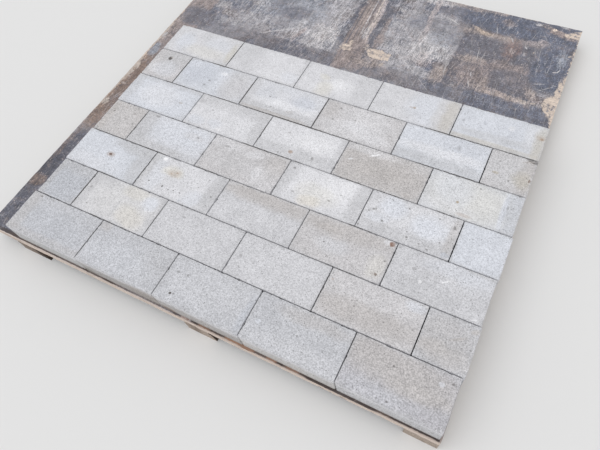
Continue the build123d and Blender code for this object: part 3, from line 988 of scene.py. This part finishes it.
        (50, -146, 100, 13, 0.8, 0.55, damp_grey), (148, -100, 7, 46, 0.8, 0.4, damp_grey),
        (38, -145, 5, 4, 0.6, 0.6, rust_stain), (8, -93, 4, 2, 0.6, 0.35, dark_pit),
        (96, -143, 3, 4, 0.5, 0.4, dark_pit, 30, 2), (10, -157, 2.4, 2, 0.5, 0.4, dark_pit),
    ]),
    "paver_course_5_no_4": (beige_grey, [
        (260, -115, 88, 34, 0.8, 0.65, clay_beige), (260, -118, 60, 16, 0.7, 0.2, clay_brown),
        (215, -70, 60, 9, 0.8, 0.45, lime_white), (345, -75, 20, 12, 0.6, 0.2, lime_white),
        (230, -77, 13, 2.4, 0.6, 0.7, splash, 32, 2), (180, -108, 5, 2.4, 0.4, 0.9, splash, 25, 2),
        (335, -155, 10, 6, 0.6, 0.6, clay_beige),
    ]),
    "paver_course_5_no_5": (blue_grey, [
        (468, -112, 80, 46, 0.9, 0.55, lime_cream), (430, -100, 36, 34, 0.6, 0.5, lime_blue),
        (543, -112, 5, 38, 0.8, 0.9, lime_blue), (563, -112, 13, 50, 0.9, 0.6, damp_blue),
        (376, -112, 7, 50, 0.8, 0.3, damp_grey), (446, -127, 3, 2.4, 0.6, 0.8, tint(170, 148, 118)),
        (420, -148, 50, 12, 0.8, 0.4, lime_white), (468, -155, 14, 4, 0.6, 0.25, rust_stain),
        (470, -102, 2.4, 2, 0.5, 0.4, dark_pit), (482, -74, 2, 1.6, 0.5, 0.5, dark_pit),
        (549, -101, 2.4, 5, 0.5, 0.35, dark_pit),
    ]),
    "half_paver_course_6_left": (warm_grey, [
        (-405, 25, 36, 24, 0.8, 0.7, damp_grey), (-422, -22, 28, 20, 0.9, 0.5, lime_blue),
        (-455, -28, 14, 12, 0.5, 0.35, lime_white, 0, 3), (-432, 19, 5.5, 6.5, 0.35, 0.95, dark_pit),
        (-428, 24, 4, 3, 0.5, 0.6, clay_brown),
    ]),
    "paver_course_6_no_1": (blue_grey, [
        (-325, 5, 44, 36, 0.8, 0.6, tint(198, 202, 212)), (-345, 30, 24, 14, 0.6, 0.5, lime_blue),
        (-248, 0, 12, 30, 0.8, 0.6, lime_blue), (-198, -5, 34, 46, 0.8, 0.7, tint(201, 199, 201)),
        (-252, 22, 10, 5, 0.5, 0.5, splash), (-280, -14, 3.6, 2.6, 0.5, 0.5, dark_pit),
        (-285, -32, 3.4, 2.4, 0.5, 0.4, dark_pit), (-198, 18, 4, 2.4, 0.5, 0.25, dark_pit),
    ]),
    "paver_course_6_no_2": (pale_grey, [
        (-50, 14, 88, 34, 0.8, 0.45, lime_blue), (-85, 2, 30, 16, 0.8, 0.4, lime_white),
        (-45, -18, 80, 10, 0.8, 0.4, splash), (0, 5, 26, 20, 0.5, 0.5, tint(198, 202, 212)),
        (-110, 0, 24, 18, 0.6, 0.3, damp_blue), (-150, -5, 9, 46, 0.8, 0.5, damp_grey),
        (-60, -44, 96, 10, 0.9, 0.6, damp_grey), (-70, -54, 76, 4, 0.6, 0.6, clay_brown, 0, 4),
        (-25, -34, 10, 4, 0.6, 0.3, clay_brown, 20, 2), (-96, -4, 2.4, 2, 0.5, 0.45, dark_pit),
        (-78, -34, 2.4, 2, 0.5, 0.4, dark_pit),
    ]),
    "paver_course_6_no_3": (warm_grey, [
        (150, -32, 62, 20, 0.8, 0.45, lime_white), (150, -15, 24, 16, 0.6, 0.4, lime_white),
        (70, 20, 18, 24, 0.6, 0.4, clay_beige), (175, 12, 50, 30, 0.8, 0.4, lime_white),
        (215, -40, 30, 11, 0.8, 0.4, lime_white), (93, 28, 3, 2.4, 0.5, 0.5, dark_pit),
        (143, 3, 2.4, 2.6, 0.5, 0.4, dark_pit), (88, -12, 2.4, 2.4, 0.5, 0.5, dark_pit),
    ]),
    "paver_course_6_no_4": (blue_grey, [
        (370, 12, 96, 34, 0.9, 0.6, lime_blue), (365, -14, 76, 12, 0.9, 0.6, lime_white),
        (405, 25, 44, 20, 0.6, 0.3, damp_blue), (370, -42, 96, 10, 0.9, 0.55, damp_grey),
        (298, 30, 14, 14, 0.6, 0.25, lime_blue), (402, 16, 5, 6, 0.6, 0.25, dark_pit),
        (395, -5, 1.4, 6, 0.5, 0.5, splash), (408, 1, 9, 1.4, 0.5, 0.5, splash, 20, 2),
    ]),
    "half_paver_course_6_right": (warm_grey, [
        (518, -5, 42, 40, 0.8, 0.6, tint(201, 201, 204)), (566, 0, 14, 40, 0.9, 0.5, clay_brown, -8, 2),
        (556, -20, 16, 18, 0.8, 0.5, tint(186, 180, 168), 20, 2),
        (498, -18, 6, 3, 0.7, 0.6, tint(172, 162, 144)),
        (571, 44, 13, 6, 0.5, 0.95, tint(70, 62, 54), -10, 3),
        (560, 38, 14, 2, 0.6, 0.7, clay_brown, 25, 2), (573, -14, 2.8, 4, 0.4, 0.85, tint(110, 84, 64)),
        (530, -30, 2.2, 1.8, 0.4, 0.6, dark_pit), (499, 17, 2, 1.8, 0.4, 0.5, dark_pit),
    ]),
    "paver_course_7_no_1": (pale_grey, [
        (-432, 95, 22, 28, 0.6, 0.8, lime_blue), (-330, 115, 34, 22, 0.6, 0.45, lime_blue),
        (-350, 75, 56, 18, 0.7, 0.35, lime_cream), (-276, 98, 8, 30, 0.8, 0.6, tint(198, 194, 184)),
        (-385, 130, 16, 10, 0.6, 0.3, damp_grey),
    ]),
    "paver_course_7_no_2": (pale_grey, [
        (-120, 95, 56, 46, 0.8, 0.5, lime_white), (-230, 110, 34, 30, 0.7, 0.35, damp_grey),
        (-80, 75, 24, 16, 0.6, 0.4, lime_blue),
    ]),
    "paver_course_7_no_3": (pale_grey, [
        (62, 90, 32, 22, 0.9, 0.3, splash), (50, 96, 16, 12, 0.9, 0.3, splash),
        (20, 74, 18, 20, 0.8, 0.6, lime_cream), (8, 112, 12, 8, 0.6, 0.6, lime_cream),
        (-25, 90, 26, 34, 0.7, 0.3, lime_white), (125, 110, 26, 34, 0.7, 0.4, damp_grey),
    ]),
    "paver_course_7_no_4": (pale_grey, [
        (292, 100, 36, 46, 0.9, 0.75, lime_blue), (330, 100, 14, 50, 0.8, 0.5, tint(204, 201, 200)),
        (353, 95, 14, 58, 0.9, 0.65, tint(197, 192, 185)),
        (262, 97, 3, 3.2, 0.6, 0.6, tint(166, 142, 116)), (254, 96, 6, 2.4, 0.6, 0.25, rust_stain),
        (220, 70, 50, 16, 0.7, 0.25, damp_grey), (215, 60, 40, 12, 0.8, 0.4, lime_white),
        (170, 148, 14, 5, 0.6, 0.5, splash),
    ]),
    "paver_course_7_no_5": (blue_grey, [
        (460, 105, 86, 38, 0.9, 0.6, lime_blue), (545, 110, 12, 36, 0.9, 0.45, lime_white),
        (470, 76, 78, 9, 0.8, 0.5, damp_grey), (570, 92, 12, 50, 0.9, 0.7, tint(198, 193, 184)),
        (450, 54, 100, 6, 0.9, 0.6, tint(196, 190, 180)), (435, 113, 4, 5, 0.6, 0.8, damp_blue),
        (498, 120, 7, 7, 0.6, 0.7, splash), (505, 112, 18, 20, 0.6, 0.35, damp_blue),
        (569, 113, 4, 3, 0.6, 0.6, rust_stain), (566, 116, 9, 6, 0.8, 0.25, rust_stain),
        (385, 104, 3, 4, 0.6, 0.25, dark_pit),
    ]),
}

# The sides are the core of the mix, a little darker than the face apart from the first
# course, where splashes and dirt from the ground set each near side apart
side_share = 0.94
side_tones = {
    "paver_course_1_no_1": (190, 190, 191),
    "paver_course_1_no_2": (172, 169, 168),
    "paver_course_1_no_3": (180, 177, 176),
    "paver_course_1_no_4": (198, 196, 195),
    "paver_course_1_no_5": (197, 197, 200),
}
# Stains on these near sides, as marks whose second place is the height
side_marks = {
    "paver_course_1_no_2": [
        (-85, 86, 40, 26, 0.8, 0.55, tint(160, 152, 146)),
        (-256, 64, 16, 9, 0.7, 0.6, tint(132, 130, 122)),
    ],
    "paver_course_1_no_3": [(-33, 62, 15, 8, 0.7, 0.6, tint(138, 110, 90))],
}

# Painted shade along the wider joints: middle x and y, half length and width
joint_shade_marks = [
    (-280, -485.2, 34, 1.3), (-440, -485.2, 34, 1.1), (-360, -378.8, 40, 1.35), (280, -378.8, 34, 1.1),
    (-440, -272.2, 34, 1.2), (-360, -272.2, 40, 1.4), (-285, -272.2, 40, 1.4), (-120, -272.2, 34, 1.3),
    (280, -272.2, 30, 1.2), (-280, -165.8, 34, 1.2), (-40, -165.8, 45, 1.5), (40, -165.8, 40, 1.2),
    (200, -165.8, 36, 1.3), (300, -165.8, 34, 1.1), (440, -165.8, 30, 1.1), (-360, -59.2, 34, 1.2),
    (-280, -59.2, 34, 1.1), (-200, -59.2, 36, 1.25), (-120, -59.2, 38, 1.4), (-40, -59.2, 42, 1.8),
    (45, -59.2, 42, 1.85), (125, -59.2, 34, 1.2), (360, -59.2, 36, 1.25), (440, -59.2, 44, 1.6),
    (-280, 47.2, 34, 1.4), (200, 47.2, 34, 1.25), (360, 47.2, 42, 1.6), (450, 47.2, 40, 1.25),
    (530, 47.2, 40, 1.3), (-269.2, -538, 1.15, 46), (-370.9, -432, 1.6, 48), (-159.2, -432, 1.1, 40),
    (263.6, -432, 1.1, 40), (-267.7, -325, 1.3, 46), (-370.9, -219, 1.3, 46), (-56.2, -112, 1.2, 44),
    (-373.4, -6, 1.3, 46), (-161.7, -6, 1.5, 46), (49.8, -6, 1.6, 46), (-267.2, 101, 1.3, 46),
]
joint_shade_tone = tint(96, 91, 88)


def pressed_concrete(node, low, high):
    """A block's finish: cast face with its marks, rougher and greyer sides, pores and grit."""
    finish, tree, place = new_finish("face_of_" + node)
    tone, marks = blocks[node]
    middle, half = (low + high) / 2 / mm, (high - low) / 2 / mm
    near = stir(tree, place, 240.0, 0.0010)
    crisp_spot = spot_of(tree, near)
    spot = spot_of(tree, stir(tree, stir(tree, place, 36.0, 0.010), 330.0, 0.0040))
    clouds = grain(tree, place, 24.0, 4.0, 0.6)
    mottle = grain(tree, place, 130.0, 4.0, 0.6)
    grit = grain(tree, place, 340.0, 3.0, 0.78)
    # cast face, a little darker round its rim, with painted shade beside the wider joints
    colour = paint(tree, tint(*tone), marks, spot, crisp_spot, crisp_on_face)
    size = (half.x - rim_inset, half.y - rim_inset)
    inside = mark(tree, spot, middle.x, middle.y, *size, 0.04, 1.0, 0, 10)
    rim = math_node(tree, "SUBTRACT", 1.0, inside)
    colour = lay_over(tree, times(tree, rim, 0.4), colour, damp_grey)
    for x, y, half_x, half_y in joint_shade_marks:
        if abs(x - middle.x) < half.x + half_x and abs(y - middle.y) < half.y + half_y:
            # painted shade beside a wider joint
            dirt = mark(tree, crisp_spot, x, y, half_x, half_y, 0.3, 0.8, 0, 4)
            colour = lay_over(tree, dirt, colour, joint_shade_tone)
    # sides: the grey core under a facing of finer mix, darker towards the board
    side_tone = side_tones.get(node, [side_share * value for value in tone])
    height = crisp_spot[2]
    wash = between(tree, height, high.z - facing_ends[0], high.z - facing_ends[1], 0.0, 0.9)
    side = lay_over(tree, wash, tint(*side_tone), tint(216, 216, 220))
    side_spot = (crisp_spot[0], height)
    side = paint(tree, side, side_marks.get(node, []), side_spot, side_spot, 0)
    # the sides darker towards the board
    foot = between(tree, height, low.z + dark_foot_height, low.z, 0.0, 0.4)
    foot = times(tree, foot, between(tree, mottle, 0.2, 0.6, 0.5, 1.0))
    side = lay_over(tree, foot, side, tint(150, 144, 138))
    top_share = between(tree, height, high.z - 5 * mm, high.z - 1.5 * mm)
    colour = lay_over(tree, top_share, side, colour)
    # grains of the mix, which stand out more on a darker face, and less in the far course
    colour = vary(tree, colour, between(tree, clouds, 0.35, 0.65), 0.965, 1.03)
    colour = vary(tree, colour, between(tree, mottle, 0.30, 0.70), 0.965, 1.04)
    contrast = grit_contrast - contrast_step * (sum(tone) / 3 - middle_tone)
    if "course_7" in node:
        contrast *= far_course_share
    grit_share = between(tree, grit, 0.32, 0.68)
    colour = vary(tree, colour, grit_share, 1 - contrast, 1 + pale_grit_share * contrast)
    # pores, pale and dark grains scattered over the block, and blowholes in its sides
    pores = dots(tree, near, 230.0, 0.30, 0.12, "GREATER_THAN", 0.74)
    colour = lay_over(tree, times(tree, pores, 0.50), colour, dark_pit)
    pale = dots(tree, near, 230.0, 0.34, 0.18, "LESS_THAN", 0.03)
    colour = lay_over(tree, times(tree, pale, 0.35), colour, splash)
    dark = dots(tree, near, 62.0, 0.11, 0.05, "GREATER_THAN", 0.90)
    colour = lay_over(tree, times(tree, dark, 0.5), colour, dark_pit)
    voids = dots(tree, near, 70.0, 0.24, 0.14)
    voids = times(tree, voids, math_node(tree, "SUBTRACT", 1.0, top_share))
    colour = lay_over(tree, times(tree, voids, 0.45), colour, tint(120, 117, 112))
    relief = math_node(tree, "ADD", times(tree, grit, 0.6), times(tree, mottle, 0.5))
    relief = math_node(tree, "SUBTRACT", relief, times(tree, pores, 0.8))
    relief = math_node(tree, "SUBTRACT", relief, voids)
    dress(tree, colour, between(tree, mottle, 0.3, 0.7, 0.84, 0.95), relief, 0.6 * mm)
    return finish


def press_block(name, low, high):
    """A block as it leaves the mould, scored finely enough to wear, standing on the board."""
    block = add_block(name, low, high)
    bpy.ops.object.mode_set(mode="EDIT")
    pick(block, "EDGE", lambda ends: abs(ends[0].z - ends[1].z) > mm)
    bpy.ops.mesh.bevel(offset=corner_radius, segments=4, affect="EDGES")
    pick(block, "EDGE", lambda ends: min(end.z for end in ends) > high.z - face_slack)
    bpy.ops.mesh.bevel(offset=arris, segments=2, affect="EDGES")
    for axis in (0, 1):
        inner_low, inner_high = low[axis] + corner_radius, high[axis] - corner_radius
        places = [inner_low, *spaced(inner_low, inner_high, face_pitch), inner_high]
        cut_across((1 - axis, axis, 0), places)
    cut_across((0, 0, 1), spaced(low.z, high.z - arris, side_pitch))
    # the underside can't be seen or worn, so it goes back to one face
    pick(block, "FACE", lambda corners: max(end.z for end in corners) < low.z + face_slack)
    bpy.ops.mesh.dissolve_faces()
    bpy.ops.object.mode_set(mode="OBJECT")

    def near_arris(point):
        """1 where chips can go."""
        gaps = [abs(bound[axis] - point[axis]) for bound in (low, high) for axis in (0, 1)]
        return float(high.z - point.z < chip_reach and min(gaps) < chip_reach)

    group_points(block, "free", lambda point: float(point.z > low.z + foot_height))
    group_points(block, "arris", near_arris)
    return block, (low + high) / 2


cast_waves = new_relief("cast_waves", 0.060, 2)
cast_grit = new_relief("cast_grit", 0.0045, 2)
arris_chips = new_relief("arris_chips", 0.010, 3, ramp=(0.56, 0.74))

patterns = {}
for node in blocks:
    low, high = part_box(node)
    kind = "half" if node.startswith("half") else "whole"
    if kind not in patterns:
        patterns[kind] = press_block("pattern_" + kind, low, high)
    pattern, middle = patterns[kind]
    select_alone(pattern)
    bpy.ops.object.duplicate()
    block = bpy.context.object
    block.name = "concrete_" + node
    block.location = (low + high) / 2 - middle
    bpy.ops.object.transform_apply(location=True, rotation=True, scale=True)
    wear_down(block, cast_waves, face_wave, "free")
    wear_down(block, cast_grit, face_grit, "free")
    wear_down(block, arris_chips, chip_depth, "arris")
    block.data.materials.append(pressed_concrete(node, low, high))
    hand_over(block, node)
for pattern, middle in patterns.values():
    bpy.data.objects.remove(pattern)


# Floor, light and camera
# A plain pale floor, a white dome of soft light and one broad lamp overhead, and the
# camera where the photograph was taken from, looking down over the near right corner.

floor_size = 30
floor_tone = tint(226, 226, 226)
dome_strength = 0.72
lamp_strength = 1.0
lamp_width = math.radians(60)
lamp_turn = (math.radians(18), math.radians(-14), 0)
# The camera's place in metres, its turn in degrees, its lens in millimetres, its shift
camera_place = (0.5201, -0.7813, 1.1049)
camera_turn = (31.719, 4.552, 26.083)
camera_lens = 31.373
camera_shift = (-0.03559, -0.02291)

bpy.ops.object.select_all(action="DESELECT")
bpy.ops.mesh.primitive_plane_add(size=floor_size, location=(0, 0, 0))
floor = bpy.context.object
floor.name = "floor"
floor_finish, floor_tree = new_finish("pale_floor")[:2]
dress(floor_tree, floor_tone, 0.9)
floor.data.materials.append(floor_finish)

world = bpy.data.worlds.new("studio")
bpy.context.scene.world = world
world.use_nodes = True
dome = world.node_tree.nodes["Background"]
dome.inputs["Color"].default_value = (1.0, 1.0, 1.0, 1.0)
dome.inputs["Strength"].default_value = dome_strength

bpy.ops.object.light_add(type="SUN", location=(0, 0, 4))
lamp = bpy.context.object
lamp.name = "overhead_lamp"
lamp.data.energy = lamp_strength
lamp.data.angle = lamp_width
lamp.rotation_euler = lamp_turn

bpy.ops.object.camera_add(location=camera_place)
camera = bpy.context.object
camera.rotation_euler = [math.radians(turn) for turn in camera_turn]
camera.data.sensor_width = 36.0
camera.data.lens = camera_lens
camera.data.shift_x, camera.data.shift_y = camera_shift
camera.data.clip_start = 0.05
camera.data.clip_end = 100.0
bpy.context.scene.camera = camera
bpy.context.scene.view_settings.view_transform = "Standard"
